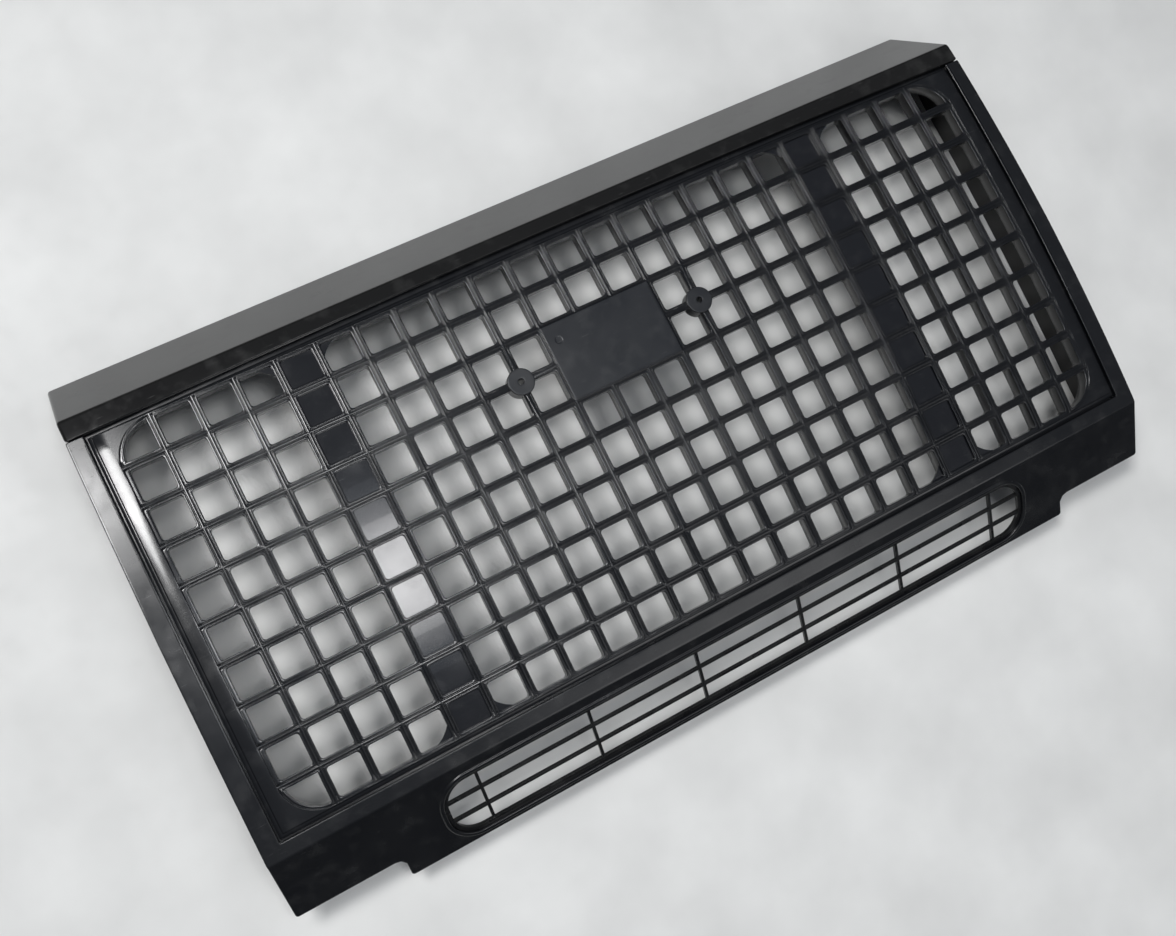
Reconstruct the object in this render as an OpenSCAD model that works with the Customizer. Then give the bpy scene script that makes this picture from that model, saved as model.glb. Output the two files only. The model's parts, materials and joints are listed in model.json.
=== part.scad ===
// Front grille for a truck nose: an egg-crate lattice panel carried by a surround with a
// folded lower skirt, side returns and a sloped hood moulding along the top.
// Millimetres. X runs across the grille, +Y points to the hood, +Z out of the face.
// The origin is the middle of the grille's footprint, on the rear plane that it rests on.
// Plan positions below are counted from the lattice centre, and placed() shifts them.

/* [Face] */
// Height of the face crest above the rear resting plane
face_height = 97.5; // [95:0.5:102]
// Radius of the crown of the face, about an axis across the grille
crown_radius = 2040; // [1900:20:2300]
// Half width of the surround
half_width = 472.5; // [471:0.5:475]
// Thickness of the surround walls
wall = 3; // [2.6:0.1:3.2]

/* [Lattice] */
// Pitch of the lattice columns
pitch_x = 38; // [37.8:0.05:38.1]
// Pitch of the lattice rows
pitch_y = 37.3; // [37:0.05:37.4]
// Width of a lattice rib
rib_width = 7.6; // [6.4:0.2:8.4]
// Width of the raised bead along each rib
bead_width = 2.3; // [1.8:0.1:3]
// Depth of the lattice ribs behind the bead
rib_depth = 15; // [12:0.5:16]
// Corner radius of the windows behind the lattice
window_radius = 32; // [24:1:34]

/* [Hood] */
// Half length of the hood moulding
hood_half = 474.5; // [474:0.5:477]
// Reach of the hood's back edge from the lattice centre
hood_reach = 258.5; // [252:0.5:264]

/* [Skirt] */
// Angle of the skirt behind the face
skirt_angle = 35; // [31:1:38]
// Length of the skirt's middle section down the slope
skirt_length = 88.5; // [88:0.5:94]
// Length of the skirt's end sections down the slope
skirt_end = 65.5; // [60:0.5:70]

/* [Fixings] */
// Bore of the badge bushes
badge_bore = 5.5; // [4.5:0.1:6.5]
// Bore of the fixing hole in each side return
return_bore = 7; // [5:0.5:9]

/* [Hidden] */
$fn = 40;
e = 0.01;
columns = 23;
rows = 10;
round_fn = 720;
field_x = 433.5;              // half width of the open lattice field
field_y = 181;                // half height of the open lattice field
panel_x = 453;                // half width of the lattice panel
panel_y = 189;                // half height of the lattice panel
open_x = 454.8;               // half width of the surround's opening
open_y = 191.2;               // half height of the surround's opening
fold_y = -205;                // line of the fold between face and skirt
crown_z = face_height - crown_radius;
ledge = 1.2;                  // rib ledges below the bead
layer = 3.2;                  // underside of the lattice's front layer
panel_top = 3.35;
panel_base = 5.75;
rail_top = 6;
rail_base = 8.5;
bush_x = 2.5 * pitch_x;
bush_y = 2 * pitch_y;
stud_x = 0.5 * pitch_x;
hood_bow = 20000;             // the hood's lower edge bows down towards both ends
panel_bow = 32000;            // and so does the lattice panel's top edge
hood_front = 470;             // half length of the hood at its front
lean = 4.13;                  // lean of the side returns
slot_half = 322;
slot_top = 13.5;
slot_base = 80.5;
bar_gap = 113.6;
pillar_x = 7 * pitch_x;
pillar_half = 16.5;           // half width of the blank pillars between the windows
window_x = 435.9;             // reach of the windows to the sides
window_y = 183.3;             // reach of the windows up and down
// from the lattice centre to the middle of the footprint
shift_y = (skirt_length * cos(skirt_angle) - fold_y - hood_reach) / 2;

function col_x(c) = (c - columns / 2) * pitch_x;
function row_y(r) = (rows / 2 - r) * pitch_y;
// height of the crowned face at a distance y from the middle
function face_z(y) = crown_z + sqrt(crown_radius * crown_radius - y * y);
function arc(cx, cy, r, a0, a1, n) =
    [for (i = [0:n]) [cx + r * cos(a0 + (a1 - a0) * i / n),
                      cy + r * sin(a0 + (a1 - a0) * i / n)]];

// places where fasteners and their bosses stand
lattice_studs = concat(
    [for (s = [-1, 1], y = [-120, 0, 120]) [s * 443.6, y]],
    [for (x = [-330, -160, 0, 160, 330]) [x, -186.2]], [for (x = [-160, 0, 160]) [x, 186]]);
hood_points = [for (x = [-440, -300, -150, 0, 150, 300, 440]) [x, 200.5]];
return_points = [for (s = [-1, 1], y = [-165, -60, 60, 165]) [s * 460.4, y]];
stiffener_points = [for (s = [-1, 1], y = [-140, 0, 140]) [s * pillar_x, y]];
bracket_points = [for (s = [-1, 1], d = [-9, 9]) [s * 220 + d, 200.5]];
ears = [[-230, 7], [0, 7], [230, 7], [-330, 47], [330, 47]];

module placed() {
    translate([0, shift_y, 0]) children();
}

// a box from two corners in the plan
module plan_box(x0, x1, y0, y1) {
    translate([x0, y0]) square([x1 - x0, y1 - y0]);
}

// everything below a line that crosses the middle at y and bows down to both ends
module below(y, bow) {
    translate([0, y - bow]) circle(r = bow, $fn = 1440);
}

// a rectangle about the centre with rounded corners
module round_rect(hx, hy, r) {
    difference() {
        square([2 * hx, 2 * hy], center = true);
        for (sx = [-1, 1], sy = [-1, 1]) difference() {
            translate([sx * (hx - r / 2 + e), sy * (hy - r / 2 + e)])
                square(r + 2 * e, center = true);
            translate([sx * (hx - r), sy * (hy - r)]) circle(r, $fn = 96);
        }
    }
}

// a prism of the plan shape, tall enough to cross the whole face
module prism() {
    translate([0, 0, face_height - 45]) linear_extrude(60) children();
}

// the crowned layer between two depths below the face
module crown_layer(top, base) {
    translate([0, 0, crown_z]) rotate([0, 90, 0]) difference() {
        cylinder(r = crown_radius - top, h = 1000, center = true, $fn = round_fn);
        cylinder(r = crown_radius - base, h = 1001, center = true, $fn = round_fn);
    }
}

// a crowned sheet with the plan shape of its children
module sheet(top, base) {
    intersection() {
        prism() children();
        crown_layer(top, base);
    }
}

// the local frame on the face at x, y, with +Z along the normal
module on_face(p) {
    translate([p[0], 0, crown_z]) rotate([-asin(p[1] / crown_radius), 0, 0])
        translate([0, 0, crown_radius]) children();
}

// the local frame of the skirt: y runs down the slope, z out of the front
module on_skirt() {
    translate([0, fold_y, face_z(fold_y)]) rotate([skirt_angle, 0, 0])
        mirror([0, 1, 0]) children();
}

module pin(r, top, base) {
    translate([0, 0, -base]) cylinder(r = r, h = base - top);
}

module cells(inset) {
    for (c = [0:columns - 1], r = [0:rows - 1])
        translate([col_x(c + 0.5), row_y(r + 0.5)])
            square([pitch_x - inset, pitch_y - inset], center = true);
}

// the three windows behind the lattice, drawn smaller by the clearance
module windows(gap) {
    side = (window_x - (pillar_x + pillar_half)) / 2;
    for (s = [-1, 1]) translate([s * (window_x - side), 0])
        round_rect(side - gap, window_y - gap, window_radius + 2);
    round_rect(pillar_x - pillar_half - gap, window_y - gap, window_radius + 2);
}

module side_mirror(s) {
    if (s < 0) mirror([1, 0, 0]) children();
    else children();
}

module hood_moulding() {
    zf = face_z(195) + 0.8;
    top = [208.5, zf - 1.4];
    outer = concat([[187, face_z(187) + 0.8], [195, zf]], arc(top[0] - 3.3, top[1] - 5.2, 5, 84, 30, 6),
                   [[hood_reach, 1.2], [hood_reach - 0.6, 0], [hood_reach - 2.6, 0]]);
    inner = [[hood_reach - 3.4, 3], [205.3, top[1] - 6], [203.2, top[1] - 2.9],
             [187, face_z(187) - 2.2]];
    color([0.05, 0.05, 0.055]) placed() {
        difference() {
            union() {
                intersection() {
                    rotate([90, 0, 90]) linear_extrude(2 * hood_half + 2, center = true)
                        polygon(concat(outer, inner));
                    hood_ends(0);
                }
                intersection() {
                    rotate([90, 0, 90]) linear_extrude(2 * hood_half + 2, center = true)
                        polygon(concat(outer, [[197, 0], [187, zf - 12]]));
                    difference() {
                        hood_ends(0);
                        hood_ends(2.5);
                    }
                }
                // lip along the lower edge
                translate([0, 0, zf - 4.6]) linear_extrude(3) intersection() {
                    plan_box(3 - hood_front, hood_front - 3, 187, 199);
                    difference() {
                        below(197, hood_bow);
                        below(194, hood_bow);
                    }
                }
                for (p = hood_points) on_face(p) pin(4, 0.6, rail_top - 0.1);
            }
            for (p = hood_points) on_face(p) pin(1.5, 1.2, rail_top + 4);
            // bowed lower edge
            translate([0, 0, zf - 20]) linear_extrude(40) below(195, hood_bow);
        }
    }
}

// the space between the leaning ends of the hood, drawn smaller by the inset
module hood_ends(inset) {
    rotate([90, 0, 0]) linear_extrude(700, center = true)
        polygon([[inset - hood_half, -1], [hood_half - inset, -1],
                 [hood_front - inset, 92], [inset - hood_front, 92]]);
}

module surround_frame() {
    color([0.07, 0.07, 0.08]) placed() difference() {
        union() {
            // visible face strips
            sheet(0, wall) difference() {
                strips_outline(0, fold_y);
                plan_box(-open_x, open_x, -open_y, open_y + 10);
            }
            // step down to the rebate that carries the lattice panel
            sheet(wall - 0.5, rail_base) difference() {
                plan_box(-open_x - 2.5, open_x + 2.5, -open_y - 2.5, 188);
                plan_box(-open_x, open_x, -open_y, open_y);
            }
            // rebate flange and top rail
            difference() {
                sheet(rail_top, rail_base) difference() {
                    plan_box(-464.2, 464.2, -203, 205.5);
                    round_rect(window_x + 0.5, window_y + 0.4, window_radius + 2);
                }
                // lower along both sides
                for (s = [-1, 1]) sheet(rail_top - 1, rail_top + 0.3)
                    translate([s * 462, 0]) square([12, 440], center = true);
            }
            // outer lips down both sides
            sheet(wall - 0.5, 9) difference() {
                strips_outline(0, fold_y);
                strips_outline(2.5, fold_y - 1);
            }
            // bosses behind the side strips
            for (p = return_points) on_face(p) pin(3.6, wall - 0.5, rail_top + 0.5);
            skirt();
        }
        for (p = lattice_studs) on_face(p) pin(1.6, 4, 12);
        for (p = return_points) on_face(p) pin(1.5, 1.2, 12);
        for (p = hood_points) on_face(p) pin(2.1, 4, 12);
        for (p = bracket_points) on_face(p) pin(2, 4, 12);
    }
}

// outline of the face strips, a little narrower towards the hood
module strips_outline(inset, base) {
    x = half_width - inset;
    intersection() {
        polygon([[-x, base], [x, base], [x, 0], [x - 2.2, 196], [2.2 - x, 196], [-x, 0]]);
        below(194.4, hood_bow);
    }
}

module skirt() {
    mid = (slot_top + slot_base) / 2;
    zf = face_z(fold_y);
    c = cos(skirt_angle);
    q = sin(skirt_angle);
    difference() {
        union() {
            // sloping wall with a tongue that roots it inside the face strip
            rotate([90, 0, 90]) linear_extrude(2 * half_width - 0.6, center = true)
                polygon([[fold_y, zf - 0.05], [fold_y - skirt_length * c, zf - skirt_length * q],
                         [fold_y - skirt_length * c + wall * q,
                          zf - skirt_length * q - wall * c],
                         [fold_y + wall * q, zf - wall * c], [fold_y + 4, zf - 2],
                         [fold_y + 4, zf - 1]]);
            // raised rim around the intake slot
            on_skirt() translate([0, mid, -1]) linear_extrude(2.4)
                round_rect(slot_half + 3.5, 36.8, 30);
            on_skirt() for (p = ears)
                translate([p[0], p[1], -5]) cylinder(r = 3, h = 3);
        }
        on_skirt() translate([0, mid, -10]) linear_extrude(20)
            round_rect(slot_half, (slot_base - slot_top) / 2, 28);
        on_skirt() for (p = ears) translate([p[0], p[1], -7]) cylinder(r = 1.3, h = 6);
        on_skirt() translate([0, 0, -10]) linear_extrude(20) skirt_notches();
    }
}

// what is cut from the skirt's corners
module skirt_notches() {
    n = 370;
    w = half_width + 5;
    for (s = [-1, 1])
        polygon([[s * (n + 9), skirt_end], [s * (n + 4), skirt_end + 1.5], [s * n, skirt_end + 7],
                 [s * n, skirt_length + 5], [s * w, skirt_length + 5], [s * w, skirt_end]]);
}

// the local frame of a leaning side return: x through the wall, z up its height
module on_return() {
    translate([465, 0, 90]) rotate([0, -lean, 0]) translate([0, 0, -92]) children();
}

module side_return(s) {
    side_mirror(s) difference() {
        union() {
            // deep wall, cut back under the skirt and arched along its rear edge
            difference() {
                on_return() rotate([90, 0, 90]) linear_extrude(2.4)
                    polygon([[203, 0], [203, 98], [-203, 98], [-203, 76], [-245, 48],
                             [-245, 32], [-222, 0]]);
                translate([455, -4, -2350 + 6]) rotate([0, 90, 0])
                    cylinder(r = 2350, h = 30, $fn = round_fn);
                translate([455, -260, -10]) cube([30, 520, 10]);
                difference() {
                    translate([455, -260, 40]) cube([30, 480, 90]);
                    translate([0, 0, crown_z]) rotate([0, 90, 0])
                        cylinder(r = crown_radius - wall - 0.15, h = 520, $fn = round_fn);
                }
            }
            // foot under the surround's flange
            sheet(rail_base + 0.15, rail_base + 2.4)
                plan_box(457, 466, -190, 188);
        }
        for (p = return_points) on_face([abs(p[0]), p[1]]) pin(2.1, 6, 16);
        on_return() translate([-4, -142, 33]) rotate([0, 90, 0])
            cylinder(d = return_bore, h = 12);
    }
}

module side_return_left() {
    color([0.03, 0.03, 0.035]) placed() side_return(-1);
}

module side_return_right() {
    color([0.03, 0.03, 0.035]) placed() side_return(1);
}

module window_panel() {
    color([0.09, 0.09, 0.1]) placed() {
        difference() {
            sheet(panel_top, panel_base) difference() {
                intersection() {
                    plan_box(-450.5, 450.5, -188.8, 190);
                    below(188.8, panel_bow);
                }
                windows(0);
            }
            for (p = lattice_studs) on_face(p) pin(1.6, 2, 12);
        }
        for (p = stiffener_points) on_face(p) pin(2, panel_base - 0.5, 10.5);
    }
}

module lattice_panel() {
    color([0.06, 0.06, 0.07]) placed() difference() {
        union() {
            // ribs and border, full depth only inside the windows
            difference() {
                sheet(ledge, rib_depth) difference() {
                    intersection() {
                        plan_box(-panel_x, panel_x, -panel_y, panel_y + 1);
                        below(panel_y, panel_bow);
                    }
                    intersection() {
                        cells(rib_width);
                        round_rect(field_x, field_y, window_radius);
                    }
                }
                sheet(layer, rib_depth + 2) difference() {
                    plan_box(-460, 460, -200, 200);
                    windows(0.4);
                }
            }
            // raised beads along the ribs
            sheet(0, 2) {
                for (c = [1:columns - 1]) translate([col_x(c), 0])
                    square([bead_width, 2 * field_y + 5], center = true);
                for (r = [1:rows - 1]) translate([0, row_y(r)])
                    square([2 * field_x + 5, bead_width], center = true);
            }
            for (s = [-1, 1]) on_face([s * bush_x, bush_y])
                pin(12.8, 1.6, rib_depth + 0.5);
            for (p = lattice_studs) on_face(p) pin(1.3, layer - 0.4, 11);
        }
        for (s = [-1, 1]) on_face([s * bush_x, bush_y]) {
            pin(9.2, -2, rib_depth + 3);
            pin(13.1, -2, 2);
        }
        // seat of the badge plate
        sheet(-2, 2.15) plan_box(-1.5 * pitch_x - 0.3, 1.5 * pitch_x + 0.3,
                                 pitch_y - 0.3, 3 * pitch_y + 0.3);
        for (s = [-1, 1]) on_face([s * stud_x, bush_y]) pin(2.2, 1, rib_depth + 2);
    }
}

module badge_plate() {
    color([0.1, 0.1, 0.11]) placed() difference() {
        union() {
            sheet(0, 2) plan_box(-1.5 * pitch_x, 1.5 * pitch_x, pitch_y, 3 * pitch_y);
            for (s = [-1, 1]) on_face([s * stud_x, bush_y]) pin(2, 1.8, rib_depth + 3);
        }
        on_face([-1.2 * pitch_x, 2.55 * pitch_y]) pin(3.6, -1, 0.35);
    }
}

module badge_bushes() {
    color([0.1, 0.1, 0.11]) placed() for (s = [-1, 1]) on_face([s * bush_x, bush_y]) difference() {
        union() {
            pin(12.6, 0, 1.85);
            pin(9, 1.5, rib_depth + 4);
        }
        pin(badge_bore / 2, -1, rib_depth + 6);
    }
}

module bush_rings() {
    color([0.55, 0.55, 0.57]) placed() for (s = [-1, 1]) on_face([s * bush_x, bush_y]) difference() {
        pin(12, rib_depth + 0.65, rib_depth + 2.4);
        pin(9, rib_depth - 1, rib_depth + 5);
    }
}

// a flat spring nut pushed over a stud
module push_nut(stud, r, top) {
    difference() {
        pin(r, top, top + 1);
        pin(stud, top - 1, top + 3);
    }
}

module badge_push_nuts() {
    color([0.6, 0.6, 0.62]) placed() for (s = [-1, 1]) on_face([s * stud_x, bush_y])
        push_nut(2, 5, rib_depth + 0.1);
}

module lattice_push_nuts() {
    color([0.6, 0.6, 0.62]) placed() for (p = lattice_studs) on_face(p)
        push_nut(1.3, 3, rail_base + 0.1);
}

module stiffener_push_nuts() {
    color([0.6, 0.6, 0.62]) placed() for (p = stiffener_points) on_face(p)
        push_nut(2, 5, panel_base + 2.25);
}

module intake_insert() {
    mid = (slot_top + slot_base) / 2;
    color([0.04, 0.04, 0.045]) placed() on_skirt() difference() {
        union() {
            // frame inside the slot, with its flange behind the skirt
            translate([0, mid, -5.2]) linear_extrude(3.7) difference() {
                round_rect(slot_half - 0.3, 33.2, 27.7);
                round_rect(slot_half - 4.3, 29.2, 23.7);
            }
            translate([0, mid, -5.2]) linear_extrude(2) difference() {
                round_rect(slot_half + 5, 38.3, 30);
                round_rect(slot_half - 4.3, 29.2, 23.7);
            }
            for (p = ears) translate([p[0], p[1], -5.2]) cylinder(r = 6.4, h = 2);
            // bars
            translate([0, 0, -5.2]) linear_extrude(3.4) {
                for (y = [36.5, 58]) translate([0, y])
                    square([2 * slot_half - 6, 2.8], center = true);
                for (i = [-2.5:2.5]) translate([i * bar_gap, mid])
                    square([3, 60.4], center = true);
            }
        }
        for (p = ears) translate([p[0], p[1], -6]) cylinder(r = 3.3, h = 4);
    }
}

// a pan head screw: head under the depth, shank reaching up from it
module screw(r, head, depth, reach) {
    pin(head, depth, depth + 2.2);
    pin(r, depth - reach, depth + 0.5);
}

module hood_screws() {
    color([0.45, 0.45, 0.47]) placed() for (p = hood_points) on_face(p)
        screw(1.5, 4, rail_base + 0.1, 6.5);
}

module return_screws() {
    color([0.45, 0.45, 0.47]) placed() for (p = return_points) on_face(p)
        screw(1.5, 4, rail_base + 2.5, 9);
}

module intake_screws() {
    color([0.45, 0.45, 0.47]) placed() on_skirt() for (p = ears) translate([p[0], p[1], 0])
        screw(1.3, 4, 5.3, 3.8);
}

module pillar_stiffener(s) {
    x = s * pillar_x;
    difference() {
        union() {
            sheet(panel_base + 0.15, panel_base + 2.15)
                plan_box(x - 15, x + 15, -176, 176);
            sheet(panel_base + 0.15, rib_depth + 1) {
                plan_box(x - 15, x - 13, -176, 176);
                plan_box(x + 13, x + 15, -176, 176);
            }
        }
        for (p = stiffener_points) on_face(p) pin(2.3, 4, 14);
    }
}

module pillar_stiffener_left() {
    color([0.05, 0.05, 0.055]) placed() pillar_stiffener(-1);
}

module pillar_stiffener_right() {
    color([0.05, 0.05, 0.055]) placed() pillar_stiffener(1);
}

module hood_brackets() {
    color([0.5, 0.5, 0.52]) placed() for (s = [-1, 1]) difference() {
        union() {
            sheet(rail_base + 0.15, rail_base + 2.35)
                plan_box(s * 220 - 17, s * 220 + 17, 195, 206);
            translate([s * 220 - 17, 195, 10]) cube([34, 2.2, 68]);
        }
        for (p = bracket_points) on_face(p) pin(2, 6, 14);
        translate([s * 220, 190, 22]) rotate([-90, 0, 0]) cylinder(d = 9, h = 12);
    }
}

module bracket_rivets() {
    color([0.65, 0.65, 0.67]) placed() for (p = bracket_points) on_face(p) {
        pin(3, rail_top - 1.5, rail_top - 0.1);
        pin(2, rail_top - 0.5, rail_base + 2.8);
        pin(3, rail_base + 2.45, rail_base + 3.8);
    }
}

hood_moulding();
surround_frame();
side_return_left();
side_return_right();
window_panel();
lattice_panel();
badge_plate();
badge_bushes();
bush_rings();
badge_push_nuts();
intake_insert();
lattice_push_nuts();
hood_screws();
return_screws();
intake_screws();
pillar_stiffener_left();
pillar_stiffener_right();
stiffener_push_nuts();
hood_brackets();
bracket_rivets();
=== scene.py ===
import json
import math

import bmesh
import bpy
from mathutils import Euler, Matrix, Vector
from mathutils.geometry import tessellate_polygon


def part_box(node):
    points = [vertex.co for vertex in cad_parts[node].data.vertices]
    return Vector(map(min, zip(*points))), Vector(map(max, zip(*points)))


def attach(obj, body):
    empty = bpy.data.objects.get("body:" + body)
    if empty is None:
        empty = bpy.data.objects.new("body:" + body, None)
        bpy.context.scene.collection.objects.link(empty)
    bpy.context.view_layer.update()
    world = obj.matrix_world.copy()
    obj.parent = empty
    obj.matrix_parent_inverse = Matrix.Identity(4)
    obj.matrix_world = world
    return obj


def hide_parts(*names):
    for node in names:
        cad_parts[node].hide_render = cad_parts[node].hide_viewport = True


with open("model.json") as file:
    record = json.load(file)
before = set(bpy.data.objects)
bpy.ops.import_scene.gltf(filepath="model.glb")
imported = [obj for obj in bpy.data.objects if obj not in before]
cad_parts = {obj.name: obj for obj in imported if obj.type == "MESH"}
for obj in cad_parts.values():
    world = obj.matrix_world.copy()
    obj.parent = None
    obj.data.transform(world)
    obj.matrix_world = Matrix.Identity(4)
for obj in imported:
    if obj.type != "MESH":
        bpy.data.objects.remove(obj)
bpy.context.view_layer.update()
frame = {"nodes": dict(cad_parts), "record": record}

# ---------------------------------------------------------------- sizes, in millimetres
CROWN_R = 2040.0
FACE_Z = 97.5
SHIFT_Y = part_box("badge_plate")[0].y * 1000 - 37.3
PITCH_X, PITCH_Y = 38.0, 37.3
COLS, ROWS = 23, 10
FIELD_X, FIELD_Y = 433.2, 181.0        # reach of the open lattice field
HOOD_BOW = 20000.0                     # radius to which the hood's lower edge bows
BUSHES = [(-2.5 * PITCH_X, 2 * PITCH_Y), (2.5 * PITCH_X, 2 * PITCH_Y)]


def mix(a, b, f):
    return a + (b - a) * f


def place(x, y, z):
    """A point in the frame's metres, from millimetres about the lattice centre."""
    return (x / 1000, (y + SHIFT_Y) / 1000, z / 1000)


def face_z(y, depth=0.0):
    """Height of the crowned face, or of a layer at a depth below it."""
    return FACE_Z - CROWN_R + math.sqrt((CROWN_R - depth) ** 2 - y * y)


def face(x, y, depth):
    return place(x, y, face_z(y, depth))


def bow(x):
    """How far the hood's lower edge has dropped at x."""
    return x * x / (2 * HOOD_BOW)


def add_piece(name, verts, faces, material, replaced=(), flat_angle=40, even_out=True):
    """Link a mesh as a piece. Edges sharper than flat_angle stay crisp."""
    mesh = bpy.data.meshes.new(name)
    mesh.from_pydata(verts, [], faces)
    mesh.validate()
    mesh.shade_smooth()
    mesh.set_sharp_from_angle(angle=math.radians(flat_angle))
    piece = bpy.data.objects.new(name, mesh)
    bpy.context.scene.collection.objects.link(piece)
    mesh.materials.append(material)
    if even_out:
        even = piece.modifiers.new("even", "WEIGHTED_NORMAL")
        even.keep_sharp = True
        even.weight = 100
    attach(piece, "root")
    if replaced:
        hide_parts(*replaced)
    return piece


# ---------------------------------------------------------------- materials
def plastic(name, colour, rough, spread=0.06, grain=0.0000015, grain_scale=2600.0,
            dust=0.03, dust_colour=(0.30, 0.30, 0.29), specular=0.5, scuff=0.5):
    """Moulded plastic: mottled tone, uneven gloss, fine grain, a film of dust and short scuffs."""
    m = bpy.data.materials.new(name)
    m.use_nodes = True
    t = m.node_tree
    t.nodes.clear()
    n, link = t.nodes.new, t.links.new
    out, bsdf = n("ShaderNodeOutputMaterial"), n("ShaderNodeBsdfPrincipled")
    link(bsdf.outputs[0], out.inputs[0])
    bsdf.inputs["Specular IOR Level"].default_value = specular
    where = n("ShaderNodeTexCoord")

    def noise(scale, detail=3.0, stretch=(1, 1, 1)):
        turn, tex = n("ShaderNodeMapping"), n("ShaderNodeTexNoise")
        turn.inputs["Scale"].default_value = stretch
        link(where.outputs["Object"], turn.inputs[0])
        link(turn.outputs[0], tex.inputs["Vector"])
        tex.inputs["Scale"].default_value = scale
        tex.inputs["Detail"].default_value = detail
        return tex.outputs["Fac"]

    def remap(value, a, b, c, d):
        r = n("ShaderNodeMapRange")
        for i, v in enumerate((a, b, c, d)):
            r.inputs[i + 1].default_value = v
        link(value, r.inputs[0])
        return r.outputs[0]

    def math_node(op, a, b):
        r = n("ShaderNodeMath")
        r.operation = op
        for i, v in enumerate((a, b)):
            if isinstance(v, float):
                r.inputs[i].default_value = v
            else:
                link(v, r.inputs[i])
        return r.outputs[0]

    cloud = noise(9.0)
    film = remap(noise(55.0, 6.0), 0.52, 0.78, 0.0, dust)
    marks = remap(noise(60.0, 4.0, (1.0, 9.0, 1.0)), 0.66, 0.74, 0.0, scuff * 0.05)
    worn = math_node("ADD", film, marks)
    tone, mixed = n("ShaderNodeMix"), n("ShaderNodeMix")
    for mix in (tone, mixed):
        mix.data_type = "RGBA"
    tone.inputs[6].default_value = (*[c * 0.82 for c in colour], 1)
    tone.inputs[7].default_value = (*[c * 1.2 for c in colour], 1)
    link(cloud, tone.inputs[0])
    link(worn, mixed.inputs[0])
    link(tone.outputs[2], mixed.inputs[6])
    mixed.inputs[7].default_value = (*dust_colour, 1)
    link(mixed.outputs[2], bsdf.inputs["Base Color"])
    gloss = remap(noise(24.0, 5.0), 0.3, 0.7, rough - spread, rough + spread)
    link(math_node("ADD", gloss, math_node("MULTIPLY", worn, 2.0)), bsdf.inputs["Roughness"])
    bump = n("ShaderNodeBump")
    bump.inputs["Strength"].default_value = 0.6
    bump.inputs["Distance"].default_value = grain
    link(noise(grain_scale, 2.0), bump.inputs["Height"])
    wave = n("ShaderNodeBump")
    wave.inputs["Strength"].default_value = 0.35
    wave.inputs["Distance"].default_value = 0.0002
    link(noise(14.0, 1.0), wave.inputs["Height"])
    link(wave.outputs[0], bump.inputs["Normal"])
    link(bump.outputs[0], bsdf.inputs["Normal"])
    return m


def metal(name, colour, rough):
    """Plated steel, with uneven gloss, a fine grain and dull spots."""
    m = plastic(name, colour, rough, spread=0.1, grain=0.00002, grain_scale=900.0, dust=0.25,
                dust_colour=(0.2, 0.19, 0.17))
    m.node_tree.nodes["Principled BSDF"].inputs["Metallic"].default_value = 1.0
    return m


MAT = {
    "hood_gloss": plastic("hood_gloss", (0.010, 0.0098, 0.0096), 0.12, 0.04, dust=0.05,
                          specular=0.26, scuff=1.2),
    "face_plastic": plastic("face_plastic", (0.0052, 0.0056, 0.0068), 0.22, 0.05),
    "lattice_plastic": plastic("lattice_plastic", (0.0052, 0.0056, 0.0068), 0.19, 0.05),
    "panel_plastic": plastic("panel_plastic", (0.0065, 0.007, 0.009), 0.15, 0.03, dust=0.02),
    "badge_plastic": plastic("badge_plastic", (0.011, 0.0122, 0.015), 0.33, 0.06, scuff=1.0),
    "return_plastic": plastic("return_plastic", (0.004, 0.004, 0.0045), 0.5, 0.06),
    "insert_plastic": plastic("insert_plastic", (0.0045, 0.0046, 0.005), 0.28, 0.05),
    "zinc": metal("zinc", (0.55, 0.55, 0.53), 0.35),
    "bracket_steel": metal("bracket_steel", (0.42, 0.42, 0.42), 0.42),
}

# flat sided nodes, whose edges a bevel rounds cleanly
EDGED = ("intake_insert", "hood_brackets", "hood_screws", "return_screws", "intake_screws",
         "bracket_rivets", "bush_rings")
slot_of = {s["node"]: s["material_slot"] for s in frame["record"]["subparts"]}
for node, obj in frame["nodes"].items():
    obj.data.materials.clear()
    obj.data.materials.append(MAT[slot_of[node]])
    if node in EDGED:
        weld = obj.modifiers.new("weld", "WELD")
        weld.merge_threshold = 0.000002
        bevel = obj.modifiers.new("bevel", "BEVEL")
        bevel.width = 0.0004
        bevel.segments = 2
        bevel.limit_method = "ANGLE"
        bevel.angle_limit = math.radians(40)
        bevel.harden_normals = True


# ---------------------------------------------------------------- lattice panel
# Across a rib, from the middle of its bead to the cell's wall and on to the back:
# distance out from the edge of the opening, and depth below the crown of the bead.
BEAD = [(3.8, 0.0), (3.3, 0.04), (2.98, 0.13), (2.74, 0.35), (2.62, 0.9), (2.5, 1.5), (2.25, 1.62),
        (1.98, 1.55), (1.86, 1.2), (1.7, 0.9), (1.45, 0.8), (0.6, 0.92), (0.28, 0.98),
        (0.08, 1.12), (0.0, 1.6), (0.02, 3.2), (0.3, 14.7), (0.55, 15.0), (3.8, 15.0)]
EDGE = [(5.3, 0.0), (4.8, 0.0), (4.5, 0.0), (4.25, 0.03), (4.05, 0.12), (3.9, 0.35), (3.8, 0.62),
        (3.65, 0.77), (3.4, 0.8), (3.0, 0.8), (2.0, 0.8), (0.6, 0.8), (0.28, 0.88),
        (0.08, 1.12), (0.0, 1.6), (0.02, 3.2), (0.3, 14.7), (0.55, 15.0), (2.3, 15.0),
        (2.3, 3.3), (5.3, 3.3)]
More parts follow.
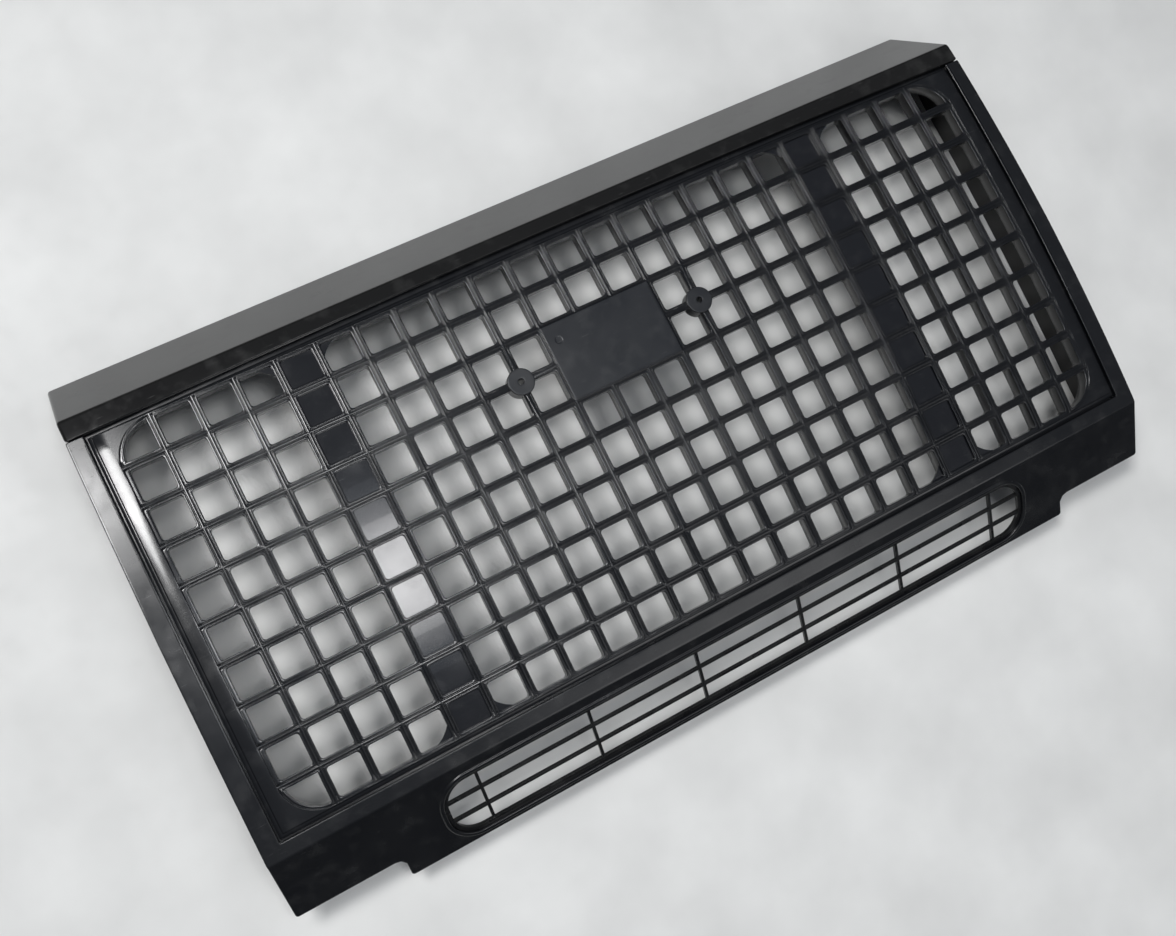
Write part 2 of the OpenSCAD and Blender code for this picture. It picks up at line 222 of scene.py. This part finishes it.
# the lip along the arc in a corner of the field stands a little higher
ARC_LIP = {9: (2.1, 0.8), 10: (1.75, 0.7), 11: (1.45, 0.22), 12: (0.6, 0.12), 13: (0.15, 0.4)}
FRONT_LOOPS = 16
FIELD_REACH_X, FIELD_REACH_Y = 438.5, 184.4     # where the border's flat begins
PANEL_X, PANEL_Y, PANEL_BOW = 453.0, 189.0, 32000.0
ARC_R = 32.0
PILLARS = (4, 18)
BADGE_CELLS = [(c, r) for c in (10, 11, 12) for r in (2, 3)]
RIB_HALF, CELL_ROUND = 3.8, 3.0
BADGE_SEAT = 2.2                                # depth of the ribs below the plate and bushes
BUSH_EDGE = 12.72                               # ribs end at this radius around a bush
BUSH_CORE = 11.0                                # and run on, hidden, to this one
BUSH_STEPS = [r - RIB_HALF - CELL_ROUND for r in (12.7, 12.85)]


def col_x(c):
    return (c - COLS / 2) * PITCH_X


def row_y(r):
    return (ROWS / 2 - r) * PITCH_Y


def bead_side(loops):
    return [BEAD[min(k, len(BEAD) - 1)] for k in range(loops)]


def edge_side(loops, reach):
    """The profile towards the border, stretched beyond the ledge's rim to reach its flat."""
    rim = 0.7
    scale = (reach - rim) / (EDGE[0][0] - rim)
    return [(t if t < rim else rim + (t - rim) * scale, d) for t, d in EDGE[:loops]]


def pillar_side(loops):
    """A rib beside a pillar: its back steps up where the panel behind begins."""
    side = bead_side(loops)
    if loops > FRONT_LOOPS:
        side[18:] = [(2.1, 15.0), (2.1, 3.3), (3.8, 3.3)]
    return side


def cell_loop(box, sides, k, bush=None):
    """One closed loop of a cell. Sides run right, top, left, bottom."""
    x0, x1, y0, y1 = box
    (tr, dr), (tt, dt), (tl, dl), (tb, db) = [s[k] for s in sides]
    x0, x1, y0, y1 = x0 - tl, x1 + tr, y0 - tb, y1 + tt
    if k >= 18 or k == 0:
        radius = 0.02
    else:
        radius = CELL_ROUND - 0.75 * min(tr, tt, tl, tb)
    out = []
    corners = [(x1, y1, 0, dr, dt), (x0, y1, 90, dt, dl), (x0, y0, 180, dl, db),
               (x1, y0, 270, db, dr)]
    for i, (cx, cy, start, da, dz) in enumerate(corners):
        sx, sy = (1 if cx == x1 else -1), (1 if cy == y1 else -1)
        ox, oy = cx - sx * radius, cy - sy * radius
        for j in range(5):
            a = math.radians(start + 90 * j / 4)
            out.append((ox + radius * math.cos(a), oy + radius * math.sin(a),
                        mix(da, dz, j / 4)))
        nx, ny = corners[(i + 1) % 4][:2]
        last = out[-1]
        far = (nx + (radius if start == 0 else -radius if start == 180 else 0),
               ny + (radius if start == 90 else -radius if start == 270 else 0))
        for j in (1, 2):
            f = j / 3
            if bush and math.dist(bush, (cx, cy)) < 8:
                f = BUSH_STEPS[j - 1] / math.dist(last[:2], far)
            elif bush and math.dist(bush, (nx, ny)) < 8:
                f = 1 - BUSH_STEPS[2 - j] / math.dist(last[:2], far)
            out.append((mix(last[0], far[0], f), mix(last[1], far[1], f), dz))
    if bush:
        out = [clear_bush(bush, box, *p) for p in out]
    return out


def clear_bush(bush, box, x, y, depth):
    """Move a point out of the bore of a bush and below its head."""
    away = Vector((x - bush[0], y - bush[1]))
    if away.length > BUSH_EDGE:
        return (x, y, depth)
    if away.length < 0.5:
        away = Vector((math.copysign(1, (box[0] + box[1]) / 2 - bush[0]),
                       math.copysign(1, (box[2] + box[3]) / 2 - bush[1])))
    if away.length < BUSH_CORE:
        away = away.normalized() * BUSH_CORE
    return (bush[0] + away.x, bush[1] + away.y, max(depth, BADGE_SEAT))


def arc_loop(box, sides, k):
    """One loop of a corner cell, where an arc joins its top and right sides."""
    x0, x1, y0, y1 = box
    (tr, dr), (tt, dt), (tl, dl), (tb, db) = [s[k] for s in sides]
    if k in ARC_LIP:
        tr, dr = ARC_LIP[k]
        tt, dt = ARC_LIP[k][0] * 0.8, ARC_LIP[k][1]
    cx, cy = x1 - ARC_R, y1 - ARC_R
    x0, y0 = x0 - tl, y0 - tb
    square = k == 0 or k >= 20
    mid = math.atan2(y1 + tt - cy, x1 + tr - cx)
    reach = ARC_R + min(tr, tt)
    low = math.asin(max(0.0, min(1.0, (y0 - cy) / reach)))
    high = math.acos(max(0.0, min(1.0, (x0 - cx) / reach)))
    out = []
    for j in range(17):
        a = mix(low, mid, j / 8) if j < 8 else mix(mid, high, (j - 8) / 8)
        c, s = math.cos(a), math.sin(a)
        if square:
            f = min((x1 + tr - cx) / max(c, 1e-6), (y1 + tt - cy) / max(s, 1e-6))
        else:
            f = ARC_R + mix(tt, tr, c * c)
        x, y = cx + f * c, cy + f * s
        if j == 0:
            x, y = x1 + tr if square else x, y0
        if j == 16:
            x, y = x0, y1 + tt if square or x0 < cx else y
        depth = mix(mix(db, dr, min(1.0, j / 2)), mix(dt, dl, max(0.0, (j - 14) / 2)), j / 16)
        if 2 <= j <= 14:
            depth = dr
        out.append((x, y, depth))
    for j in (1, 2, 3):
        out.append((x0, mix(out[16][1], y0, j / 4), dl))
    out.append((x0, y0, mix(dl, db, 0.5)))
    for j in (1, 2, 3):
        out.append((mix(x0, out[0][0], j / 4), y0, db))
    return out


def build_lattice():
    verts, faces = [], []

    def ring(loops):
        n = len(loops[0])
        base = len(verts)
        for loop in loops:
            verts.extend(face(*p) for p in loop)
        for k in range(len(loops) - 1):
            for i in range(n):
                j = (i + 1) % n
                a, b = base + k * n, base + (k + 1) * n
                faces.append((a + i, a + j, b + j, b + i))

    for c in range(COLS):
        for r in range(ROWS):
            pillar = c in PILLARS
            loops = FRONT_LOOPS if pillar else len(EDGE)
            bead = bead_side(loops)
            sides = [bead, bead, bead, bead]
            if c + 1 in PILLARS:
                sides[0] = pillar_side(loops)
            if c - 1 in PILLARS:
                sides[2] = pillar_side(loops)
            if c == 0:
                sides[2] = edge_side(loops, FIELD_REACH_X - FIELD_X)
            if c == COLS - 1:
                sides[0] = edge_side(loops, FIELD_REACH_X - FIELD_X)
            if r == 0:
                sides[1] = edge_side(loops, FIELD_REACH_Y - FIELD_Y)
            if r == ROWS - 1:
                sides[3] = edge_side(loops, FIELD_REACH_Y - FIELD_Y)
            box = (col_x(c) + RIB_HALF, col_x(c + 1) - RIB_HALF,
                   max(row_y(r + 1) + RIB_HALF, -FIELD_Y), min(row_y(r) - RIB_HALF, FIELD_Y))
            corner = c in (0, COLS - 1) and r in (0, ROWS - 1)
            if corner:
                # worked out as the upper right cell, then mirrored into place
                mx, my = (1 if c else -1), (-1 if r else 1)
                box = (col_x(COLS - 1) + RIB_HALF, FIELD_X, row_y(1) + RIB_HALF, FIELD_Y)
                sides = [edge_side(loops, FIELD_REACH_X - FIELD_X),
                         edge_side(loops, FIELD_REACH_Y - FIELD_Y), bead, bead]
                stack = [[(x * mx, y * my, d) for x, y, d in arc_loop(box, sides, k)]
                         for k in range(loops)]
                if mx * my < 0:
                    stack = [loop[::-1] for loop in stack]
            else:
                middle = ((box[0] + box[1]) / 2, (box[2] + box[3]) / 2)
                bush = [b for b in BUSHES if math.dist(b, middle) < 30]
                stack = [cell_loop(box, sides, k, *bush) for k in range(loops)]
            if (c, r) in BADGE_CELLS:
                stack = [[(x, y, max(d, BADGE_SEAT)) for x, y, d in loop] for loop in stack]
            ring(stack)

    # border plate, with a sunk rim along its edge
    border = [(0.0, 3.2), (0.0, 1.9), (0.3, 1.6), (3.0, 1.0), (3.3, 1.0), (3.6, 0.8),
              (3.9, 0.3), (4.2, 0.06), (4.4, 0.0), (None, 0.0)]
    nx, ny = 46, 24

    def border_loop(e, depth):
        inner = e is None
        hx, hy = (FIELD_REACH_X, FIELD_REACH_Y) if inner else (PANEL_X - e, PANEL_Y - e)

        def top(x):
            edge = PANEL_Y - x * x / (2 * PANEL_BOW)
            if inner:
                return FIELD_REACH_Y
            return edge - e * (edge - FIELD_REACH_Y) / (PANEL_Y - FIELD_REACH_Y)

        out = [(hx, mix(-hy, top(hx), i / ny), depth) for i in range(ny)]
        out += [(mix(hx, -hx, i / nx), top(mix(hx, -hx, i / nx)), depth) for i in range(nx)]
        out += [(-hx, mix(top(hx), -hy, i / ny), depth) for i in range(ny)]
        out += [(mix(-hx, hx, i / nx), -hy, depth) for i in range(nx)]
        return out

    ring([border_loop(e, d) for e, d in border])
    ring([border_loop(None, 3.3), border_loop(0.0, 3.2)])
    add_piece("lattice", verts, faces, MAT["lattice_plastic"],
              ("lattice_panel",), 50, False)


build_lattice()


# ---------------------------------------------------------------- hood moulding
def nearest(poly, p):
    """The nearest point to p on the closed polygon."""
    best = None
    for a, b in zip(poly, poly[1:] + poly[:1]):
        ex, ey = b[0] - a[0], b[1] - a[1]
        f = ((p[0] - a[0]) * ex + (p[1] - a[1]) * ey) / (ex * ex + ey * ey)
        f = max(0.0, min(1.0, f))
        q = (a[0] + f * ex, a[1] + f * ey)
        away = math.dist(p, q)
        if best is None or away < best[0]:
            best = (away, q)
    return best[1]


HOOD_LOW, HOOD_LIFT = 195.0, 0.8                # lower edge in the middle, standing above the face
HOOD_FOLD = face_z(HOOD_LOW) + HOOD_LIFT
HOOD_ARC = (205.2, HOOD_FOLD - 6.6)             # centre of the rounded fold, radius 5
HOOD_REACH, HOOD_FRONT = 258.5, 470.0


def hood_outer(x):
    """The visible side of the hood's section at x, from its lower lip to the back edge."""
    low = HOOD_LOW - bow(x)
    z = face_z(low) + HOOD_LIFT
    fascia = (HOOD_ARC[0] + 0.52, HOOD_FOLD - 1.63)
    pts = [(low + 0.3, z - 4.6), (low, z - 4.2), (low, z - 0.9), (low + 0.13, z - 0.42),
           (low + 0.45, z - 0.12), (low + 0.95, z),
           (mix(low, fascia[0], 0.5), mix(z, fascia[1], 0.42))]
    for i in range(9):
        a = math.radians(84 - 54 * i / 8)
        pts.append((HOOD_ARC[0] + 5 * math.cos(a), HOOD_ARC[1] + 5 * math.sin(a)))
    top, foot = pts[-1], (HOOD_REACH, 1.2)
    pts += [(mix(top[0], foot[0], f), mix(top[1], foot[1], f)) for f in (0.03, 0.3, 0.6, 0.97)]
    return pts + [foot, (HOOD_REACH - 0.1, 0.5), (HOOD_REACH - 0.6, 0.0), (HOOD_REACH - 2.5, 0.0)]


def hood_inner(x):
    """The hidden side of the section, back from the hem to the lip."""
    low = HOOD_LOW - bow(x)
    z = face_z(low) + HOOD_LIFT
    return [(HOOD_REACH - 3.4, 3.0), (205.3, HOOD_FOLD - 7.4), (203.2, HOOD_FOLD - 4.3),
            (low + 2.5, z - 2.2), (low + 1.6, z - 4.6)]


def hood_end(z):
    """Half length of the hood at a height: its ends lean out towards the foot."""
    return HOOD_FRONT + (92 - z) * 4.5 / 93


def build_hood():
    verts, faces = [], []
    radius = 3.0

    def ring(loops, cap_first=False, cap_last=False, flip=False):
        n = len(loops[0])
        base = len(verts)
        new = []
        for loop in loops:
            verts.extend(place(*p) for p in loop)
        for k in range(len(loops) - 1):
            for i in range(n):
                j = (i + 1) % n
                a, b = base + k * n, base + (k + 1) * n
                new.append((a + i, a + j, b + j, b + i))
        if cap_first:
            new.append(tuple(base + i for i in range(n))[::-1])
        if cap_last:
            new.append(tuple(base + (len(loops) - 1) * n + i for i in range(n)))
        faces.extend(f[::-1] if flip else f for f in new)

    stations = 61
    loops = []
    for k in range(stations):
        f = 2 * k / (stations - 1) - 1
        x = HOOD_FRONT * f
        loop = hood_outer(x) + hood_inner(x)
        loops.append([((hood_end(z) - radius) * f, y, z) for y, z in loop])
    ring(loops, True, True)
    for s in (-1, 1):
        # an end plate, whose outline draws in to this core as its edge rounds over
        low = HOOD_LOW - bow(HOOD_FRONT)
        outline = hood_outer(HOOD_FRONT) + [(197.0, 0.0), (low, HOOD_FOLD - 12)]
        core = [(low + radius, HOOD_FOLD - 10), (low + radius, face_z(low) + HOOD_LIFT - radius),
                (HOOD_ARC[0], HOOD_FOLD - 1.7 - radius), (206.9, HOOD_FOLD - 5.4),
                (254.0, radius), (199.0, radius)]
        inward = [nearest(core, p) for p in outline]
        stack = []
        for i in range(8):
            a = math.radians(90 * i / 7)
            g = 1 - math.cos(a)
            loop = [(mix(p[0], q[0], g), mix(p[1], q[1], g)) for p, q in zip(outline, inward)]
            stack.append([(s * (hood_end(z) - radius * (1 - math.sin(a))), y, z)
                          for y, z in loop])
        ring(stack, True, True, s < 0)
    add_piece("hood", verts, faces, MAT["hood_gloss"], ("hood_moulding",), 35)


build_hood()


# ---------------------------------------------------------------- surround
FOLD_Y, SKIRT_ANGLE, FOLD_R = -205.0, math.radians(35), 6.0
BEND = SKIRT_ANGLE - math.asin(-FOLD_Y / CROWN_R)
FOLD_REACH = FOLD_R * math.tan(BEND / 2)


def wrap(x, v, depth):
    """Bend the flat sheet x, v over the crown and round the fold, at a depth below it."""
    if v >= FOLD_Y + FOLD_REACH:
        a = math.asin(v / CROWN_R)
        r = CROWN_R - depth
        return place(x, r * math.sin(a), FACE_Z - CROWN_R + r * math.cos(a))
    if v > FOLD_Y - FOLD_REACH:
        start = math.asin(-(FOLD_Y + FOLD_REACH) / CROWN_R)
        cy = FOLD_Y + FOLD_REACH + FOLD_R * math.sin(start)
        cz = face_z(FOLD_Y + FOLD_REACH) - FOLD_R * math.cos(start)
        a = mix(start, SKIRT_ANGLE, (FOLD_Y + FOLD_REACH - v) / (2 * FOLD_REACH))
        r = FOLD_R - depth
        return place(x, cy - r * math.sin(a), cz + r * math.cos(a))
    s, c, q = FOLD_Y - v, math.cos(SKIRT_ANGLE), math.sin(SKIRT_ANGLE)
    return place(x, FOLD_Y - s * c + depth * q, face_z(FOLD_Y) - s * q - depth * c)


def rounded(corners, steps=4):
    """A closed outline from (x, y, corner radius)."""
    out = []
    for i, (x, y, r) in enumerate(corners):
        before, after = Vector(corners[i - 1][:2]), Vector(corners[(i + 1) % len(corners)][:2])
        here = Vector((x, y))
        if r <= 0:
            out.append((x, y))
            continue
        u, w = (before - here).normalized(), (after - here).normalized()
        half = u.angle(w) / 2
        centre = here + (u + w).normalized() * (r / math.sin(half))
        p, q = here + u * (r / math.tan(half)), here + w * (r / math.tan(half))
        a0 = math.atan2(*(p - centre).yx)
        turn = math.atan2(*(q - centre).yx) - a0
        turn = (turn + math.pi) % (2 * math.pi) - math.pi
        out += [(centre.x + r * math.cos(a0 + turn * j / steps),
                 centre.y + r * math.sin(a0 + turn * j / steps)) for j in range(steps + 1)]
    return out


def inset(outline, e):
    """The counterclockwise outline moved inwards by e."""
    out = []
    for i, here in enumerate(outline):
        a, b, c = Vector(outline[i - 1]), Vector(here), Vector(outline[(i + 1) % len(outline)])
        u, w = (b - a).normalized(), (c - b).normalized()
        m = Vector((-u.y - w.y, u.x + w.x))
        m = m / m.length * (e / max(0.3, math.cos(u.angle(w) / 2)))
        out.append((b.x + m.x, b.y + m.y))
    return out


def round_box(cx, cy, hx, hy, r, steps=10):
    return rounded([(cx + hx, cy - hy, r), (cx + hx, cy + hy, r), (cx - hx, cy + hy, r),
                    (cx - hx, cy - hy, r)], steps)


class Sheet:
    """Flat shells in x, v and height, bent into place at the end."""

    def __init__(self):
        self.bm = bmesh.new()

    def loop(self, outline, depth):
        return [self.bm.verts.new((x, v, -depth)) for x, v in outline]

    def bridge(self, a, b, flip=False):
        for i in range(len(a)):
            j = (i + 1) % len(a)
            quad = (a[i], a[j], b[j], b[i])
            self.bm.faces.new(quad[::-1] if flip else quad)

    def chain(self, loops, flip=False):
        for a, b in zip(loops, loops[1:]):
            self.bridge(a, b, flip)

    def fill(self, loops, up=True):
        flat = [v for loop in loops for v in loop]
        for tri in tessellate_polygon([[v.co.copy() for v in loop] for loop in loops]):
            a, b, c = (flat[i] for i in tri)
            cross = (b.co - a.co).cross(c.co - a.co)
            if abs(cross.z) < 1e-9:
                continue
            self.bm.faces.new((a, b, c) if (cross.z > 0) == up else (a, c, b))

    def slab(self, outline, holes, top, base):
        """A sharp edged slab between two depths. All outlines run counterclockwise."""
        a, b = self.loop(outline, top), self.loop(outline, base)
        ha = [self.loop(h, top) for h in holes]
        hb = [self.loop(h, base) for h in holes]
        self.bridge(b, a)
        for p, q in zip(ha, hb):
            self.bridge(p, q)
        self.fill([a] + ha)
        self.fill([b] + hb, False)

    def finish(self, lines, bend):
        for v in lines:
            everything = self.bm.verts[:] + self.bm.edges[:] + self.bm.faces[:]
            bmesh.ops.bisect_plane(self.bm, geom=everything, dist=1e-4, plane_co=(0, v, 0),
                                   plane_no=(0, 1, 0))
        self.bm.verts.index_update()
        verts = [bend(v.co.x, v.co.y, -v.co.z) for v in self.bm.verts]
        faces = [tuple(v.index for v in f.verts) for f in self.bm.faces]
        self.bm.free()
        return verts, faces


OPEN_X, OPEN_Y = 454.8, 191.2
HALF_WIDTH = 472.5
SKIRT_LENGTH, SKIRT_END, NOTCH_X = 88.5, 65.5, 370.0
SLOT_X, SLOT_Y, SLOT_R, SLOT_MID = 322.0, 33.5, 28.0, 47.0
EARS = ((-230, 7), (0, 7), (230, 7), (-330, 47), (330, 47))
# inset and depth across a rounded edge of the sheet
EDGE_ROUND = [(0.0, 3.0), (0.0, 0.9), (0.14, 0.42), (0.45, 0.12), (0.95, 0.0), (2.2, 0.0)]
# distance out from the slot and height across its raised rim
SLOT_RIM = [(6.5, 0.0), (4.6, 0.0), (4.35, 0.05), (4.05, 0.3), (3.8, 0.9), (3.45, 1.28),
            (3.0, 1.38), (1.0, 1.38), (0.45, 1.28), (0.12, 0.95), (0.0, 0.5), (0.0, -3.0)]


def strip_top(x):
    return HOOD_LOW - 0.6 - bow(x)


def build_surround():
    sheet = Sheet()
    n, end, deep = NOTCH_X, FOLD_Y - SKIRT_END, FOLD_Y - SKIRT_LENGTH
    top_x = HALF_WIDTH - 2.13
    right = [(n, deep, 3.0), (n, end - 7, 2.0), (n + 4, end - 1.5, 2.0), (n + 9, end, 2.0),
             (HALF_WIDTH - 0.3, end, 3.0), (HALF_WIDTH - 0.3, FOLD_Y - 2, 0),
             (HALF_WIDTH, FOLD_Y + 2, 0), (HALF_WIDTH, 0, 0),
             (top_x, strip_top(top_x), 1.2), (OPEN_X, strip_top(OPEN_X), 0.8),
             (OPEN_X, -OPEN_Y, 1.5)]
    outline = rounded(right + [(-x, v, r) for x, v, r in right[::-1]])
    slot = [round_box(0, FOLD_Y - SLOT_MID, SLOT_X + w, SLOT_Y + w, SLOT_R + w)
            for w, h in SLOT_RIM]
    outer = [sheet.loop(inset(outline, e), d) for e, d in EDGE_ROUND]
    rim = [sheet.loop(o, -h) for o, (w, h) in zip(slot, SLOT_RIM)]
    sheet.chain(outer)
    sheet.chain(rim)
    sheet.fill([outer[-1], rim[0]])
    sheet.fill([outer[0], rim[-1]], False)

    # step down to the rebate, with the flange that carries the panels
    top, t = 188.0, 2.5
    sheet.slab([(OPEN_X, top), (OPEN_X, -OPEN_Y), (-OPEN_X, -OPEN_Y), (-OPEN_X, top),
                (-OPEN_X - t, top), (-OPEN_X - t, -OPEN_Y - t), (OPEN_X + t, -OPEN_Y - t),
                (OPEN_X + t, top)][::-1], [], 3.0, 6.0)
    sheet.slab([(464.2, -203), (464.2, 205.5), (-464.2, 205.5), (-464.2, -203)],
               [round_box(0, 0, 436.4, 183.7, 34)], 6.0, 8.5)
    for s in (-1, 1):
        # the outer lip down the side
        lip = [(470, -204), (HALF_WIDTH, -204), (HALF_WIDTH, 0), (470.4, 188), (468, 188),
               (470, 0)]
        sheet.slab(lip if s > 0 else [(-x, v) for x, v in lip[::-1]], [], 3.0, 9.0)
    for x, s in EARS:
        sheet.slab(round_box(x, FOLD_Y - s, 3, 3, 2.999, 6), [], 3.0, 5.0)

    lines = [-196 + 8 * i for i in range(50)]
    lines += [FOLD_Y + FOLD_REACH * (1 - i / 3) for i in range(7)]
    verts, faces = sheet.finish(lines, wrap)
    add_piece("surround", verts, faces, MAT["face_plastic"],
              ("surround_frame",), 35)


build_surround()


# ---------------------------------------------------------------- badge plate and bushes
def on_face(x, y, u, v, depth):
    """A point u, v about the normal of the face at x, y."""
    a = math.asin(y / CROWN_R)
    r = CROWN_R - depth
    return place(x + u, v * math.cos(a) + r * math.sin(a),
                 FACE_Z - CROWN_R - v * math.sin(a) + r * math.cos(a))


def lathe(verts, faces, x, y, profile, steps=48):
    """Turn a closed profile of (radius, depth) about the normal of the face at x, y."""
    n, base = len(profile), len(verts)
    for i in range(steps):
        a = 2 * math.pi * i / steps
        verts.extend(on_face(x, y, r * math.cos(a), r * math.sin(a), d) for r, d in profile)
    for i in range(steps):
        a, b = base + i * n, base + (i + 1) % steps * n
        faces.extend((a + k, a + (k + 1) % n, b + (k + 1) % n, b + k) for k in range(n))


DISH_Y = 95.1


def build_badge():
    sheet = Sheet()
    x, low, high = 1.5 * PITCH_X, PITCH_Y, 3 * PITCH_Y
    outline = rounded([(x, low, 0.8), (x, high, 0.8), (-x, high, 0.8), (-x, low, 0.8)])
    outer = [sheet.loop(inset(outline, e), d)
             for e, d in [(0, 2.0), (0, 0.7), (0.1, 0.32), (0.35, 0.1), (0.75, 0.0), (1.6, 0.0)]]
    angles = [a * math.pi / 16 for a in range(32)]
    dish = [sheet.loop([(r * math.cos(a) - 1.2 * PITCH_X, r * math.sin(a) + DISH_Y)
                        for a in angles], d)
            for r, d in [(4.4, 0.0), (3.9, 0.01), (3.7, 0.06), (3.5, 0.2), (3.2, 0.28), (2.0, 0.33),
                         (0.8, 0.35)]]
    sheet.chain(outer)
    sheet.chain(dish)
    sheet.fill([outer[-1], dish[0]])
    sheet.fill([dish[-1]])
    sheet.fill([outer[0]], False)
    verts, faces = sheet.finish([40 + 6 * i for i in range(12)], wrap)
    for s in (-1, 1):
        lathe(verts, faces, s * PITCH_X / 2, 2 * PITCH_Y,
              [(0.01, 1.9), (2.0, 1.9), (2.0, 17.6), (1.6, 18.0), (0.01, 18.0)], 24)
    add_piece("badge", verts, faces, MAT["badge_plastic"], ("badge_plate",), 40)


def build_bushes():
    verts, faces = [], []
    for x, y in BUSHES:
        lathe(verts, faces, x, y,
              [(2.75, 19.0), (2.75, 0.6), (2.95, 0.2), (3.3, 0.0), (5.0, 0.0), (10.5, 0.0),
               (11.9, 0.0), (12.3, 0.08), (12.55, 0.35), (12.6, 0.7), (12.6, 1.85), (9.0, 1.85),
               (9.0, 18.7), (8.7, 19.0)])
    add_piece("bushes", verts, faces, MAT["badge_plastic"], ("badge_bushes",), 40)
    # the collars of the lattice that carry the bushes
    verts, faces = [], []
    for x, y in BUSHES:
        lathe(verts, faces, x, y,
              [(9.2, 1.95), (12.8, 1.95), (12.8, 15.3), (12.6, 15.5), (9.2, 15.5)])
    add_piece("bush_collars", verts, faces, MAT["lattice_plastic"])


build_badge()
build_bushes()


# ---------------------------------------------------------------- stage
def make_floor():
    n = 6.0
    mesh = bpy.data.meshes.new("floor")
    mesh.from_pydata([(-n, -n, 0), (n, -n, 0), (n, n, 0), (-n, n, 0)], [], [(0, 1, 2, 3)])
    floor = bpy.data.objects.new("floor", mesh)
    bpy.context.scene.collection.objects.link(floor)
    mesh.materials.append(plastic("floor_pale", (0.70, 0.70, 0.685), 0.6, 0.05, dust=0.1,
                                  dust_colour=(0.66, 0.66, 0.64), scuff=0.2))
    floor.location.z = -0.0005


def area_light(name, location, target, size, energy, colour=(1, 1, 1)):
    data = bpy.data.lights.new(name, "AREA")
    data.shape = "RECTANGLE"
    data.size, data.size_y = size
    data.energy = energy
    data.color = colour
    light = bpy.data.objects.new(name, data)
    bpy.context.scene.collection.objects.link(light)
    light.location = location
    light.rotation_euler = (Vector(target) - Vector(location)).to_track_quat("-Z", "Y").to_euler()
    return light


def make_world():
    world = bpy.data.worlds.new("studio")
    bpy.context.scene.world = world
    world.use_nodes = True
    t = world.node_tree
    back = t.nodes["Background"]
    where = t.nodes.new("ShaderNodeTexCoord")
    dot = t.nodes.new("ShaderNodeVectorMath")
    dot.operation = "DOT_PRODUCT"
    dot.inputs[1].default_value = Vector((0.10, 0.08, 0.99)).normalized()
    ramp = t.nodes.new("ShaderNodeValToRGB")
    stops = [(0.0, 0.06), (0.4, 0.08), (0.72, 0.17), (0.92, 0.24), (1.0, 0.32)]
    els = ramp.color_ramp.elements
    while len(els) < len(stops):
        els.new(0.5)
    for el, (p, v) in zip(els, stops):
        el.position = p
        el.color = (v * 0.93, v, v * 1.12, 1)
    t.links.new(where.outputs["Generated"], dot.inputs[0])
    t.links.new(dot.outputs["Value"], ramp.inputs[0])
    t.links.new(ramp.outputs[0], back.inputs[0])
    back.inputs[1].default_value = 1.0


make_floor()
make_world()
area_light("key", (-1.3, 1.3, 3.6), (0, 0, 0), (1.0, 1.0), 98)
area_light("window", (-0.10, -0.04, 2.5), (-0.1, -0.04, 0), (0.42, 0.5), 11)
area_light("window glow", (-0.10, -0.04, 2.52), (-0.1, -0.04, 0), (0.9, 0.95), 2.2,
           (0.72, 0.84, 1.0))
area_light("fill", (0.9, -1.6, 2.3), (0, 0, 0), (1.6, 1.6), 14)

camera = bpy.data.objects.new("camera", bpy.data.cameras.new("camera"))
bpy.context.scene.collection.objects.link(camera)
camera.data.sensor_fit = "HORIZONTAL"
camera.data.sensor_width = 36.0
camera.data.lens = 38.413
camera.location = (-0.35829, -0.053445, 1.197745)
camera.rotation_euler = Euler([math.radians(a) for a in (8.33797, -11.95703, -27.1198)])
bpy.context.scene.camera = camera
bpy.context.scene.view_settings.view_transform = "Standard"
